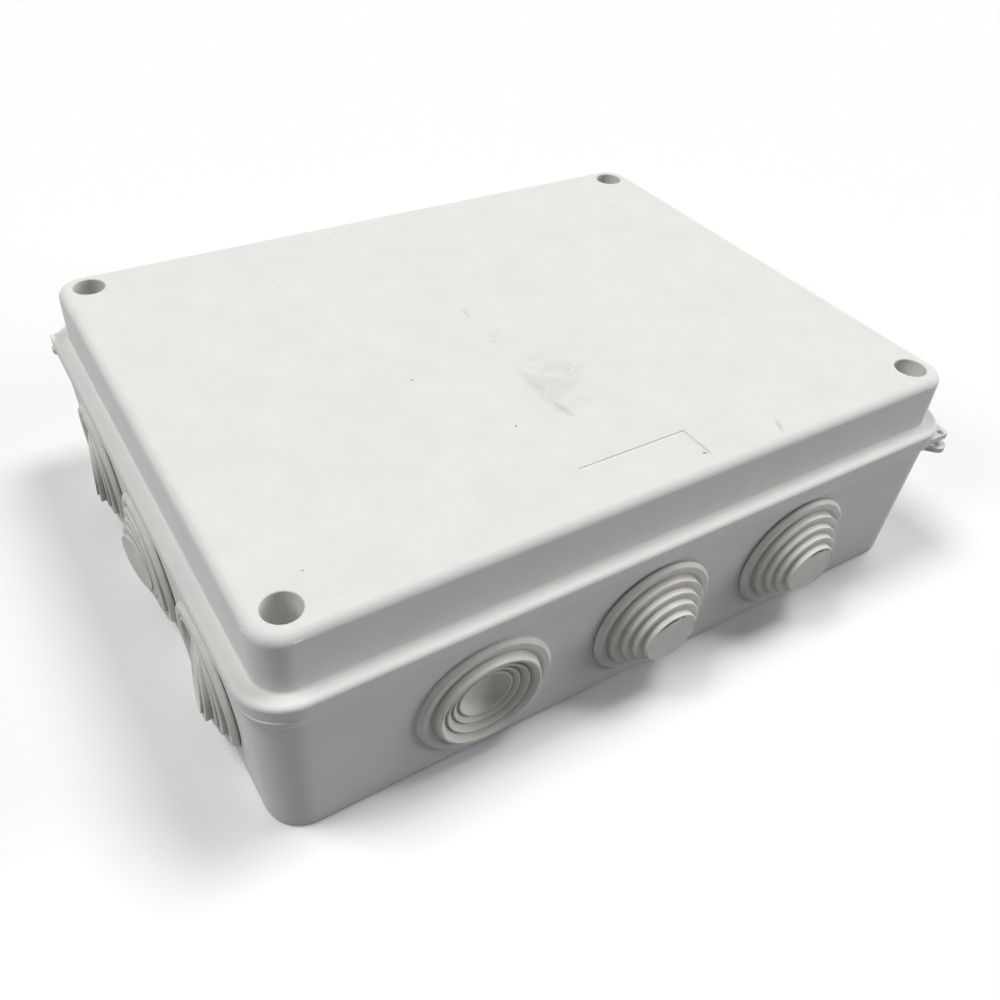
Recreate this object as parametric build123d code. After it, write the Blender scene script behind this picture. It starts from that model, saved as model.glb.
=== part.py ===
"""Weatherproof junction box: moulded base and lid, lid gasket, four lid screws
and twelve stepped rubber grommets.

Frame: X along the long side, Y along the short side, Z up. The origin is the
middle of the base's underside, and all sizes are in millimetres.
"""
import os
from math import atan2, cos, degrees, radians, sin

from build123d import *

# Outline of the closed box
flange_length = 255.0
flange_width = 199.0
flange_corner_radius = 14.3
flange_top = 58.0
flange_height = 4.8
overall_height = 77.0

# Base shell
wall_thickness = 2.5
floor_thickness = 2.6
parting_gap = 0.2
base_top_setback = 1.5
base_draft = 2.0
base_corner_radius = 13.2
base_foot_radius = 1.2
collar_setback = 0.3
collar_corner_radius = 12.5
collar_height = 1.4
collar_blend = 2.6
tongue_clearance = 0.3
tongue_height = 1.5

# Screw posts in the base
post_radius = 5.0
post_rib_thickness = 2.0
post_gap = 0.2
pilot_depth = 22.0

# Lid shell
ledge_width = 5.0
lid_draft = 0.4
lid_wall = 2.3
lid_top_thickness = 2.5
ledge_thickness = 2.2
skirt_thickness = 1.8
lid_edge_radius = 3.5
ledge_edge_radius = 1.6
ledge_root_radius = 1.0
seal_lip_thickness = 1.5
seal_lip_drop = 1.6

# Screw wells in the lid
well_inset_x = 15.5
well_inset_y = 15.0
well_radius = 5.25
well_wall = 1.9
well_floor_thickness = 2.5
well_mouth_radius = 0.5

# Lid screws
shank_radius = 1.95
shank_length = 18.0
pilot_clearance = 0.05
screw_hole_clearance = 0.35
screw_head_radius = 3.8
screw_head_height = 2.6
screw_head_side = 1.1
screw_point_length = 3.0
screw_point_radius = 0.5
recess_width = 1.1
recess_span = 4.6
recess_depth = 1.5

# Bare sunk panel in the lid's top
panel_length = 39.0
panel_width = 12.5
panel_from_edge = 17.8
panel_depth = 0.4

# Lid gasket
gasket_side_clearance = 0.1

# Cable entries and their grommets
entry_radius = 18.0
entry_height = 26.4
entries_per_side = 3
entry_pitch_long = 60.5
entry_pitch_short = 53.0
grommet_flange_radius = 22.1
grommet_flange_height = 2.2
grommet_flange_bevel = 1.1
grommet_neck_clearance = 0.1
grommet_bead_radius = 19.6
grommet_bead_height = 2.0
grommet_bead_bevel = 1.2
grommet_wall = 1.2
grommet_rings = (17.6, 14.7, 12.2, 9.55)
grommet_step = 2.1
grommet_lip_width = 0.6
grommet_lip_height = 0.4
grommet_dish_depth = 3.0
grommet_dish_radius = 6.0

# Wire-seal lugs at two opposite corners
lug_angle = 48.0
lug_reach = 16.4
lug_hole_radius = 1.2
lid_lug_setback = 0.5
lid_lug_corner_radius = 1.2
lid_lug_rise = 0.9
lid_lug_thickness = 2.2
base_lug_radius = 3.4
base_lug_thickness = 1.8
base_lug_drop = 3.6

# Wall fixings in the floor
fixing_inset_x = 29.5
fixing_inset_y = 31.5
fixing_hole_radius = 2.5
fixing_pad_radius = 6.0
fixing_pad_height = 2.0
fixing_pad_slope = 1.0

# How far cuts run past a face, and how exactly an edge is found by its place
overrun = 1.0
edge_tolerance = 0.01

skirt_bottom = flange_top - flange_height
base_top = skirt_bottom - parting_gap
ledge_bottom = flange_top - ledge_thickness
tongue_top = base_top + tongue_height
base_top_length = flange_length - 2 * base_top_setback
base_top_width = flange_width - 2 * base_top_setback
skirt_inner_length = flange_length - 2 * skirt_thickness
skirt_inner_width = flange_width - 2 * skirt_thickness
skirt_inner_radius = flange_corner_radius - skirt_thickness
dome_length = flange_length - 2 * ledge_width
dome_width = flange_width - 2 * ledge_width
dome_corner_radius = flange_corner_radius - ledge_width
cavity_length = dome_length - 2 * lid_wall
cavity_width = dome_width - 2 * lid_wall
cavity_corner_radius = dome_corner_radius - lid_wall
lip_length = cavity_length + 2 * seal_lip_thickness
lip_width = cavity_width + 2 * seal_lip_thickness
lip_corner_radius = cavity_corner_radius + seal_lip_thickness
well_floor_bottom = flange_top - well_floor_thickness
well_spacing_x = flange_length - 2 * well_inset_x
well_spacing_y = flange_width - 2 * well_inset_y
fixing_spacing_x = flange_length - 2 * fixing_inset_x
fixing_spacing_y = flange_width - 2 * fixing_inset_y
wall_lean = degrees(atan2(base_draft, base_top))
lug_corner = (flange_length / 2 - flange_corner_radius, flange_corner_radius - flange_width / 2)
lug_centre = (
    lug_corner[0] + lug_reach * cos(radians(lug_angle)),
    lug_corner[1] - lug_reach * sin(radians(lug_angle)),
)


def outline(length, width, radius, height):
    """A rounded rectangle lying at the given height."""
    return Plane.XY.offset(height) * RectangleRounded(length, width, radius)


def block(length, width, radius, bottom, top):
    """A straight rounded block between two heights."""
    return extrude(outline(length, width, radius, bottom), top - bottom)


def drafted(length, width, radius, bottom, top, draft):
    """A rounded block whose walls lean in by draft from its stated end to the other.

    The stated length and width are those of the top when draft is positive,
    and of the bottom when it is negative.
    """
    shrink = 2 * abs(draft)
    small = (length - shrink, width - shrink, radius - abs(draft))
    full = (length, width, radius)
    lower, upper = (small, full) if draft > 0 else (full, small)
    return loft([outline(*lower, bottom), outline(*upper, top)], ruled=True)


def edges_at(solid, height):
    """The edges of a solid that lie flat at one height."""
    lowest = height - edge_tolerance
    highest = height + edge_tolerance
    return solid.edges().filter_by_position(Axis.Z, lowest, highest)


def well_places():
    """Centres of the four lid screws, named by the corner they stand in."""
    x = well_spacing_x / 2
    y = well_spacing_y / 2
    return {
        "front_left": (-x, -y),
        "front_right": (x, -y),
        "back_right": (x, y),
        "back_left": (-x, y),
    }


def entry_places():
    """Frames on the outer faces of the base walls, one for each cable entry.

    Each frame's Z axis points straight out of its wall, which leans by the draft.
    """
    setback = base_top_setback + base_draft * (1 - entry_height / base_top)
    sides = {
        "front": (-90, flange_width / 2 - setback, entry_pitch_long),
        "right": (0, flange_length / 2 - setback, entry_pitch_short),
        "back": (90, flange_width / 2 - setback, entry_pitch_long),
        "left": (180, flange_length / 2 - setback, entry_pitch_short),
    }
    places = {}
    for side, (turn, distance, pitch) in sides.items():
        first = -(entries_per_side - 1) / 2 * pitch
        for index in range(entries_per_side):
            along = first + index * pitch
            spot = Rot(0, 0, turn) * Pos(distance, along, entry_height)
            places[f"{side}_{index + 1}"] = spot * Rot(0, 90 + wall_lean, 0)
    return places


def round_lugs(radius, bottom, thickness):
    """A pair of lugs at opposite corners, each a tab with a round end."""
    root = Location((*lug_corner, bottom), (0, 0, -lug_angle))
    tab = root * Pos(lug_reach / 2, 0, thickness / 2) * Box(lug_reach, 2 * radius, thickness)
    tab += Pos(*lug_centre, bottom + thickness / 2) * Cylinder(radius, thickness)
    return [tab, Rot(0, 0, 180) * tab]


def square_lugs(setback, radius, bottom, thickness):
    """A pair of lugs that fill two opposite corners of the outline out to a small radius."""
    length = flange_length - 2 * setback
    width = flange_width - 2 * setback
    plate = block(length, width, radius, bottom, bottom + thickness)
    side = 2 * flange_corner_radius
    corner_box = Box(side, side, thickness)
    corner = Pos(flange_length / 2, -flange_width / 2, bottom + thickness / 2) * corner_box
    tab = plate & corner
    return [tab, Rot(0, 0, 180) * tab]


def lug_holes(bottom, thickness):
    """The wire holes through one pair of seal lugs."""
    hole = Pos(*lug_centre, bottom + thickness / 2) * Cylinder(lug_hole_radius, 2 * thickness)
    return [hole, Rot(0, 0, 180) * hole]


def make_base():
    """Open moulded tray with a rim tongue, screw posts, entries and fixing pads."""
    shell = drafted(base_top_length, base_top_width, base_corner_radius, 0, base_top, base_draft)
    shell = fillet(edges_at(shell, 0), base_foot_radius)
    outer = shell
    collar_length = flange_length - 2 * collar_setback
    collar_width = flange_width - 2 * collar_setback
    collar_bottom = base_top - collar_height
    shell += block(collar_length, collar_width, collar_corner_radius, collar_bottom, base_top)
    blend_in = base_top_setback - collar_setback
    shell += drafted(
        collar_length, collar_width, collar_corner_radius,
        collar_bottom - collar_blend, collar_bottom, blend_in,
    )
    tongue_length = skirt_inner_length - 2 * tongue_clearance
    tongue_width = skirt_inner_width - 2 * tongue_clearance
    tongue_radius = skirt_inner_radius - tongue_clearance
    shell += block(tongue_length, tongue_width, tongue_radius, base_top - overrun, tongue_top)
    lug_bottom = base_top - base_lug_drop - base_lug_thickness
    shell += round_lugs(base_lug_radius, lug_bottom, base_lug_thickness)

    slope = base_draft / base_top
    top_draft = slope * (tongue_top - floor_thickness)
    grow = slope * tongue_height
    cavity = drafted(
        base_top_length - 2 * wall_thickness + 2 * grow,
        base_top_width - 2 * wall_thickness + 2 * grow,
        base_corner_radius - wall_thickness + grow,
        floor_thickness, tongue_top, top_draft,
    )
    shell -= cavity

    post_top = well_floor_bottom - post_gap
    for x, y in well_places().values():
        post = Pos(x, y, post_top / 2) * Cylinder(post_radius, post_top)
        reach_x = flange_length / 2 - abs(x)
        reach_y = flange_width / 2 - abs(y)
        side_x = 1 if x > 0 else -1
        side_y = 1 if y > 0 else -1
        rib_x = Box(reach_x, post_rib_thickness, base_top)
        rib_y = Box(post_rib_thickness, reach_y, base_top)
        post += (Pos(x + side_x * reach_x / 2, y, base_top / 2) * rib_x) & outer
        post += (Pos(x, y + side_y * reach_y / 2, base_top / 2) * rib_y) & outer
        shell += post
        pilot_radius = shank_radius + pilot_clearance
        shell -= Pos(x, y, post_top - pilot_depth / 2) * Cylinder(pilot_radius, pilot_depth)

    pad_top = floor_thickness + fixing_pad_height
    for spot in GridLocations(fixing_spacing_x, fixing_spacing_y, 2, 2):
        pad = Cone(fixing_pad_radius + fixing_pad_slope, fixing_pad_radius, fixing_pad_height)
        shell += spot * Pos(0, 0, floor_thickness + fixing_pad_height / 2) * pad
        shell -= spot * Pos(0, 0, pad_top / 2) * Cylinder(fixing_hole_radius, 2 * pad_top)

    for place in entry_places().values():
        shell -= place * Cylinder(entry_radius, 2 * (wall_thickness + overrun))
    shell -= lug_holes(lug_bottom, base_lug_thickness)
    return shell


def make_lid():
    """Stepped lid: a dome on a flange whose skirt hangs over the base's tongue."""
    flange = block(flange_length, flange_width, flange_corner_radius, skirt_bottom, flange_top)
    flange = fillet(edges_at(flange, flange_top), ledge_edge_radius)
    dome = drafted(dome_length, dome_width, dome_corner_radius, ledge_bottom, overall_height, -lid_draft)
    dome = fillet(edges_at(dome, overall_height), lid_edge_radius)
    lid = flange + dome
    roots = [edge for edge in edges_at(lid, flange_top) if edge.length > well_radius]
    root_limit = dome_length / 2 + edge_tolerance
    roots = [edge for edge in roots if abs(edge.center().X) < root_limit]
    lid = fillet(roots, ledge_root_radius)
    lug_bottom = skirt_bottom + lid_lug_rise - lid_lug_thickness
    lid += square_lugs(lid_lug_setback, lid_lug_corner_radius, lug_bottom, lid_lug_thickness)
    lid -= block(
        flange_length, flange_width, collar_corner_radius + collar_setback,
        lug_bottom - overrun, skirt_bottom,
    )

    mouth = skirt_bottom - overrun
    lid -= block(skirt_inner_length, skirt_inner_width, skirt_inner_radius, mouth, ledge_bottom)
    lip_bottom = ledge_bottom - seal_lip_drop
    lid += block(lip_length, lip_width, lip_corner_radius, lip_bottom, ledge_bottom)
    cavity_top = overall_height - lid_top_thickness
    lid -= drafted(cavity_length, cavity_width, cavity_corner_radius, mouth, cavity_top, -lid_draft)

    tube_radius = well_radius + well_wall
    tube_height = cavity_top - well_floor_bottom
    web_height = cavity_top - ledge_bottom
    bore_height = overall_height - flange_top
    dome_outer = drafted(
        dome_length, dome_width, dome_corner_radius, ledge_bottom, overall_height, -lid_draft
    )
    for x, y in well_places().values():
        reach_x = flange_length / 2 - abs(x)
        reach_y = flange_width / 2 - abs(y)
        side_x = 1 if x > 0 else -1
        side_y = 1 if y > 0 else -1
        middle = ledge_bottom + web_height / 2
        well = Pos(x, y, well_floor_bottom + tube_height / 2) * Cylinder(tube_radius, tube_height)
        web_x = Pos(x + side_x * reach_x / 2, y, middle) * Box(reach_x, lid_wall, web_height)
        web_y = Pos(x, y + side_y * reach_y / 2, middle) * Box(lid_wall, reach_y, web_height)
        lid += well
        lid += web_x & dome_outer
        lid += web_y & dome_outer
    for x, y in well_places().values():
        lid -= Pos(x, y, flange_top + bore_height / 2) * Cylinder(well_radius, bore_height)
        hole_radius = shank_radius + screw_hole_clearance
        lid -= Pos(x, y, flange_top) * Cylinder(hole_radius, 2 * (well_floor_thickness + overrun))
    rims = edges_at(lid, overall_height).filter_by(GeomType.CIRCLE)
    rims = [edge for edge in rims if abs(edge.radius - well_radius) < edge_tolerance]
    lid = fillet(rims, well_mouth_radius)

    panel_y = -(flange_width / 2 - panel_from_edge)
    panel = Box(panel_length, panel_width, 2 * panel_depth)
    lid -= Pos(0, panel_y, overall_height) * panel
    lid -= lug_holes(lug_bottom, lid_lug_thickness)
    return lid


def make_gasket():
    """Flat seal ring in the channel between the lid's skirt and its inner lip."""
    slack = 2 * gasket_side_clearance
    outer_length = skirt_inner_length - slack
    outer_width = skirt_inner_width - slack
    outer_radius = skirt_inner_radius - gasket_side_clearance
    inner_length = lip_length + slack
    inner_width = lip_width + slack
    inner_radius = lip_corner_radius + gasket_side_clearance
    ring = block(outer_length, outer_width, outer_radius, tongue_top, ledge_bottom)
    below = tongue_top - overrun
    above = ledge_bottom + overrun
    ring -= block(inner_length, inner_width, inner_radius, below, above)
    return ring


def make_screw(x, y):
    """Pan-head tapping screw with a cross recess, seated on the well's floor."""
    seat = flange_top
    head_top = seat + screw_head_height
    tip = seat - shank_length
    with BuildPart() as screw:
        with BuildSketch(Plane.XZ):
            with BuildLine():
                Line((0, tip), (screw_point_radius, tip))
                Line((screw_point_radius, tip), (shank_radius, tip + screw_point_length))
                Line((shank_radius, tip + screw_point_length), (shank_radius, seat))
                Line((shank_radius, seat), (screw_head_radius, seat))
                shoulder = (screw_head_radius, seat + screw_head_side)
                Line((screw_head_radius, seat), shoulder)
                TangentArc((0, head_top), shoulder, tangent=(1, 0))
                Line((0, head_top), (0, tip))
            make_face()
        revolve(axis=Axis.Z)
        for turn in (0, 90):
            with Locations(Location((0, 0, head_top), (0, 0, turn))):
                Box(recess_span, recess_width, 2 * recess_depth, mode=Mode.SUBTRACT)
    return Pos(x, y, 0) * screw.part


def ring_walls(pushes):
    """Outer and inner corner points of a grommet's stepped nose, from rim to middle.

    Each ring of the nose is pushed out (1) or in (-1). The points are pairs of
    radius and height above the outer face of the wall.
    """
    height = grommet_flange_height
    outer = []
    inner = []
    for radius, push in zip(grommet_rings, pushes):
        skin = -grommet_wall * push
        outer.append((radius, height))
        inner.append((radius + skin, height - grommet_wall))
        height += push * grommet_step
        outer.append((radius, height))
        inner.append((radius + skin, height - grommet_wall))
    return outer, inner, height


def make_grommet(place, pushes):
    """Soft stepped grommet: flange outside, neck in the wall, bead inside, hollow nose."""
    outer, inner, end = ring_walls(pushes)
    neck = entry_radius - grommet_neck_clearance
    throat = grommet_rings[0] - grommet_wall
    back = -wall_thickness
    bead_bottom = back - grommet_bead_height
    rim = [
        (grommet_flange_radius - grommet_flange_bevel, grommet_flange_height),
        (grommet_flange_radius, grommet_flange_height - grommet_flange_bevel),
        (grommet_flange_radius, 0),
        (neck, 0),
        (neck, back),
        (grommet_bead_radius, back),
        (grommet_bead_radius, bead_bottom + grommet_bead_bevel),
        (grommet_bead_radius - grommet_bead_bevel, bead_bottom),
        (throat, bead_bottom),
    ]
    if pushes[-1] > 0:
        lip = grommet_rings[-1] - grommet_lip_width
        floor = end - grommet_lip_height
        middle = [(lip, end), (lip, floor), (0, floor), (0, end - grommet_wall)]
    else:
        dish = end - grommet_dish_depth
        middle = [
            (grommet_dish_radius, dish),
            (0, dish),
            (0, dish - grommet_wall),
            (grommet_dish_radius + grommet_wall, dish - grommet_wall),
        ]
    points = outer + middle + list(reversed(inner)) + list(reversed(rim))
    profile = make_face(Polyline(*[(r, 0, z) for r, z in points], close=True))
    return place * revolve(profile, Axis.Z)


def nose_pattern(name):
    """Which rings of each grommet's nose stand out or are pushed in."""
    pushed = {"front_1": (1, -1, -1, -1), "left_1": (1, 1, 1, -1), "left_3": (1, 1, 1, -1)}
    return pushed.get(name, (1, 1, 1, 1))


def main():
    parts = {"base_shell": make_base(), "lid_shell": make_lid(), "lid_gasket": make_gasket()}
    for name, (x, y) in well_places().items():
        parts[f"lid_screw_{name}"] = make_screw(x, y)
    for name, place in entry_places().items():
        parts[f"grommet_{name}"] = make_grommet(place, nose_pattern(name))
    os.makedirs("parts", exist_ok=True)
    for name, part in parts.items():
        export_step(part, f"parts/{name}.step")


main()
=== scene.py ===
from math import cos, pi, radians, sin

import bmesh
import bpy
from mathutils import Matrix, Vector


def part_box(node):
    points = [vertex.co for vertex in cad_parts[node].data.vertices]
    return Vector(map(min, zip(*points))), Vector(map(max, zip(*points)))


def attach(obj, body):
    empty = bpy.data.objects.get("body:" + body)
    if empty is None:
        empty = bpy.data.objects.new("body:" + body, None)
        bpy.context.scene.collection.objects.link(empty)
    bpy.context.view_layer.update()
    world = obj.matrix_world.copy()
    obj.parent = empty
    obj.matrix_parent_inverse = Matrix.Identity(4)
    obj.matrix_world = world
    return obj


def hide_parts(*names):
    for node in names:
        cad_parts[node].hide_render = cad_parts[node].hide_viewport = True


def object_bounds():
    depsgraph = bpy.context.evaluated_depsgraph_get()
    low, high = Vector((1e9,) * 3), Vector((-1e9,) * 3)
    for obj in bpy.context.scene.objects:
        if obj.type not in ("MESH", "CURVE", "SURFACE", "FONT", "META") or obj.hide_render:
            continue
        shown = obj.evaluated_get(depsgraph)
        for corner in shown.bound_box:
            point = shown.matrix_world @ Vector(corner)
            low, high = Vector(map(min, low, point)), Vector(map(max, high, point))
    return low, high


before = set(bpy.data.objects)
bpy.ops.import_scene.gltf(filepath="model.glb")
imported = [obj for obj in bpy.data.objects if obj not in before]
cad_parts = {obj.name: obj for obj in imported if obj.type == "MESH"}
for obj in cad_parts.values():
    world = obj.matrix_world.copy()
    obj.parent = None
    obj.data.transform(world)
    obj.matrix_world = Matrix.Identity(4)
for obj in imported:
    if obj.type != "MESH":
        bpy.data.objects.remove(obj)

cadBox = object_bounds()
mm = 0.001
print("frame loaded:", len(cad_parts), "nodes")


def hexColour(code):  # an sRGB hex colour as the linear colour that a shader takes
    shares = [int(code[i:i + 2], 16) / 255 for i in (1, 3, 5)]
    linear = [s / 12.92 if s <= 0.04045 else ((s + 0.055) / 1.055) ** 2.4 for s in shares]
    return (*linear, 1.0)


def addNode(tree, kind, settings=None, links=None):  # one node with its settings and links
    node = tree.nodes.new(kind)
    for name, value in (settings or {}).items():
        if isinstance(name, int) or name in node.inputs:
            node.inputs[name].default_value = value
        else:
            setattr(node, name, value)
    for name, source in (links or {}).items():
        tree.links.new(source, node.inputs[name])
    return node


# Camera, solved from the photo's straight edges, wells and grommets
camera = {
    "azimuthDeg": -35.262,
    "elevationDeg": 41.058,
    "rollDeg": 4.702,
    "distance": 0.3708,
    "target": Vector((0.0028, -0.0070, 0.0029)),
    "lensMm": 34.474,
    "sensorMm": 36.0,
}


def makeCamera():
    azimuth = radians(camera["azimuthDeg"])
    elevation = radians(camera["elevationDeg"])
    roll = radians(camera["rollDeg"])
    back = Vector((sin(azimuth) * cos(elevation), -cos(azimuth) * cos(elevation), sin(elevation)))
    right = (-back).cross(Vector((0, 0, 1))).normalized()
    up = right.cross(-back)
    rolledRight = right * cos(roll) + up * sin(roll)
    rolledUp = up * cos(roll) - right * sin(roll)
    data = bpy.data.cameras.new("photoCamera")
    data.lens = camera["lensMm"]
    data.sensor_width = camera["sensorMm"]
    view = bpy.data.objects.new("photoCamera", data)
    turn = Matrix((rolledRight, rolledUp, back)).transposed()
    view.matrix_world = Matrix.LocRotScale(camera["target"] + back * camera["distance"], turn, None)
    bpy.context.scene.collection.objects.link(view)
    bpy.context.scene.camera = view


makeCamera()
print("camera made")


# What both plastics share is set here for each: pale clouding left by the melt as it filled the
# mould, with the noise levels between which it fades in, and the grain of the mould
boxAbs = {
    "colour": "#E5E6E2",
    "cloudColour": "#E1E2E0",
    "cloudMm": 12.0,
    "cloudNoise": {"Detail": 4.0, "Roughness": 0.6},
    "cloudFade": (0.35, 0.7),
    "grainMm": 0.8,  # spark-eroded grain, drawn coarser than the real 0.1 mm so that it shows
    "grainNoise": {"Detail": 2.0, "Roughness": 0.6},
    "grainDepthMm": 0.05,
    "grainStrength": 0.25,
    "roughness": (0.5, 0.62),
    "ior": 1.53,
    "gloss": 0.25,  # half of a smooth skin's, because the grain scatters the rest
    "speckColour": "#7F807B",
    "speckCore": 0.4,  # the share of a speck's radius that has its full colour
    "markDepthMm": 10,
    "markFade": 0.22,  # how softly noise breaks a mark up
}

# Burnt specks in the plastic: how far apart, how large, how many of the places hold one
speckSets = (
    {"cellMm": 8.0, "radiusMm": 0.42, "share": 0.14, "strength": 0.75},
    {"cellMm": 2.6, "radiusMm": 0.3, "share": 0.4, "strength": 0.26},
)


def startMaterial(name):  # a new material, its tree, its shader, and the piece's own coordinates
    material = bpy.data.materials.new(name)
    material.use_nodes = True
    tree = material.node_tree
    place = addNode(tree, "ShaderNodeTexCoord").outputs["Object"]
    return material, tree, tree.nodes["Principled BSDF"], place


def cloudAndGrain(tree, skin, place, look):
    # a slow noise drifts between two colours and two roughnesses, and a fine one stands up as
    # the mould's grain; hands back the colour, for what lies on top of it
    cloud = addNode(
        tree, "ShaderNodeTexNoise",
        {"Scale": 1 / (look["cloudMm"] * mm), **look["cloudNoise"]},
        {"Vector": place},
    )
    clouding = addNode(
        tree, "ShaderNodeMapRange",
        {"From Min": look["cloudFade"][0], "From Max": look["cloudFade"][1]},
        {"Value": cloud.outputs["Fac"]},
    )
    base = addNode(
        tree, "ShaderNodeMix",
        {"data_type": "RGBA", 6: hexColour(look["colour"]), 7: hexColour(look["cloudColour"])},
        {0: clouding.outputs["Result"]},
    )
    grain = addNode(
        tree, "ShaderNodeTexNoise",
        {"Scale": 1 / (look["grainMm"] * mm), **look["grainNoise"]},
        {"Vector": place},
    )
    bump = addNode(
        tree, "ShaderNodeBump",
        {"Strength": look["grainStrength"], "Distance": look["grainDepthMm"] * mm},
        {"Height": grain.outputs["Fac"]},
    )
    dullness = addNode(
        tree, "ShaderNodeMapRange",
        {"To Min": look["roughness"][0], "To Max": look["roughness"][1]},
        {"Value": cloud.outputs["Fac"]},
    )
    skin.inputs["IOR"].default_value = look["ior"]
    tree.links.new(dullness.outputs["Result"], skin.inputs["Roughness"])
    tree.links.new(bump.outputs["Normal"], skin.inputs["Normal"])
    return base.outputs[2]


def mouldedAbs(name, marks=()):
    # Light grey ABS, injection moulded in a spark-eroded tool: a dull satin skin with a fine
    # even grain, very faint clouding and a few burnt specks
    material, tree, skin, place = startMaterial(name)
    base = cloudAndGrain(tree, skin, place, boxAbs)
    specked = addSpecks(tree, place, base)
    colour = addMarks(tree, place, specked, marks)
    skin.inputs["Specular IOR Level"].default_value = boxAbs["gloss"]
    tree.links.new(colour, skin.inputs["Base Color"])
    return material


def addSpecks(tree, place, colour):  # the centres of a few cells, where they lie under the skin
    for specks in speckSets:
        cells = addNode(
            tree, "ShaderNodeTexVoronoi",
            {"Scale": 1 / (specks["cellMm"] * mm)},
            {"Vector": place},
        )
        edge = specks["radiusMm"] / specks["cellMm"]
        near = addNode(
            tree, "ShaderNodeMapRange",
            {"From Min": edge, "From Max": edge * boxAbs["speckCore"], "To Max": specks["strength"]},
            {"Value": cells.outputs["Distance"]},
        )
        lots = addNode(tree, "ShaderNodeSeparateColor", {}, {"Color": cells.outputs["Color"]})
        chosen = addNode(
            tree, "ShaderNodeMath",
            {"operation": "LESS_THAN", 1: specks["share"]},
            {0: lots.outputs["Red"]},
        )
        weight = addNode(
            tree, "ShaderNodeMath",
            {"operation": "MULTIPLY"},
            {0: near.outputs["Result"], 1: chosen.outputs["Value"]},
        )
        colour = addNode(
            tree, "ShaderNodeMix",
            {"data_type": "RGBA", 7: hexColour(boxAbs["speckColour"])},
            {0: weight.outputs["Value"], 6: colour},
        ).outputs[2]
    return colour


def addMarks(tree, place, colour, marks):  # grubby rubbed patches, broken up by noise
    for mark in marks:
        x, y = mark["atMm"]
        reach = (mark["lengthMm"] / 2 * mm, mark["widthMm"] / 2 * mm, boxAbs["markDepthMm"] * mm)
        shifted = addNode(
            tree, "ShaderNodeMapping",
            {
                "vector_type": "TEXTURE",
                "Location": (x * mm, y * mm, cadBox[1].z),
                "Rotation": (0, 0, radians(mark["turnDeg"])),
                "Scale": reach,
            },
            {"Vector": place},
        )
        distance = addNode(
            tree, "ShaderNodeVectorMath", {"operation": "LENGTH"}, {0: shifted.outputs["Vector"]}
        )
        inside = addNode(
            tree, "ShaderNodeMapRange",
            {"interpolation_type": "SMOOTHSTEP", "From Min": 1.0, "From Max": mark["core"]},
            {"Value": distance.outputs["Value"]},
        )
        ragged = addNode(
            tree, "ShaderNodeTexNoise",
            {"Scale": 1 / (mark["grainMm"] * mm), "Detail": 5.0, "Roughness": 0.7},
            {"Vector": place},
        )
        bare = mark["bareShare"]
        broken = addNode(
            tree, "ShaderNodeMapRange",
            {"From Min": bare, "From Max": bare + boxAbs["markFade"], "To Max": mark["strength"]},
            {"Value": ragged.outputs["Fac"]},
        )
        weight = addNode(
            tree, "ShaderNodeMath",
            {"operation": "MULTIPLY"},
            {0: inside.outputs["Result"], 1: broken.outputs["Result"]},
        )
        colour = addNode(
            tree, "ShaderNodeMix",
            {"data_type": "RGBA", 7: hexColour(mark["colour"])},
            {0: weight.outputs["Value"], 6: colour},
        ).outputs[2]
    return colour


# Rubbed and knocked places on the lid
lidMarks = (
    {  # a grubby patch, and the streak along its left side
        "atMm": (0, -36), "turnDeg": 84, "lengthMm": 42, "widthMm": 25, "core": 0.2,
        "grainMm": 6.0, "bareShare": 0.34, "strength": 0.25, "colour": "#B4B4AC",
    },
    {
        "atMm": (-7.4, -39), "turnDeg": 91, "lengthMm": 38, "widthMm": 6.5, "core": 0.1,
        "grainMm": 3.5, "bareShare": 0.36, "strength": 0.26, "colour": "#A6A69E",
    },
    {
        "atMm": (-6.8, -50), "turnDeg": 98, "lengthMm": 12, "widthMm": 4.4, "core": 0.1,
        "grainMm": 3.0, "bareShare": 0.3, "strength": 0.34, "colour": "#9C9C94",
    },
    {  # a short streak behind it
        "atMm": (-4.6, 11.6), "turnDeg": 80, "lengthMm": 12, "widthMm": 3.0, "core": 0.1,
        "grainMm": 3.0, "bareShare": 0.3, "strength": 0.3, "colour": "#A9A9A1",
    },
    {  # two peppered spots
        "atMm": (-3.4, -6), "turnDeg": 62, "lengthMm": 15, "widthMm": 6.0, "core": 0.3,
        "grainMm": 1.1, "bareShare": 0.53, "strength": 0.85, "colour": "#82827B",
    },
    {
        "atMm": (8.4, -33), "turnDeg": 20, "lengthMm": 14, "widthMm": 10, "core": 0.3,
        "grainMm": 1.1, "bareShare": 0.53, "strength": 0.85, "colour": "#82827B",
    },
    {  # small knocks
        "atMm": (47.6, -87.5), "turnDeg": 64, "lengthMm": 9, "widthMm": 2.2, "core": 0.2,
        "grainMm": 2.0, "bareShare": 0.25, "strength": 0.4, "colour": "#A9A9A3",
    },
    {
        "atMm": (18.1, -86.7), "turnDeg": -38, "lengthMm": 1.9, "widthMm": 0.8, "core": 0.5,
        "grainMm": 6.0, "bareShare": 0.0, "strength": 0.85, "colour": "#5E5F5B",
    },
    {
        "atMm": (-40.3, -15.4), "turnDeg": 0, "lengthMm": 1.1, "widthMm": 1.0, "core": 0.5,
        "grainMm": 6.0, "bareShare": 0.0, "strength": 0.8, "colour": "#6F706C",
    },
    {
        "atMm": (-24.4, -50.5), "turnDeg": 0, "lengthMm": 1.1, "widthMm": 0.9, "core": 0.5,
        "grainMm": 6.0, "bareShare": 0.0, "strength": 0.8, "colour": "#6F706C",
    },
)


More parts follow.
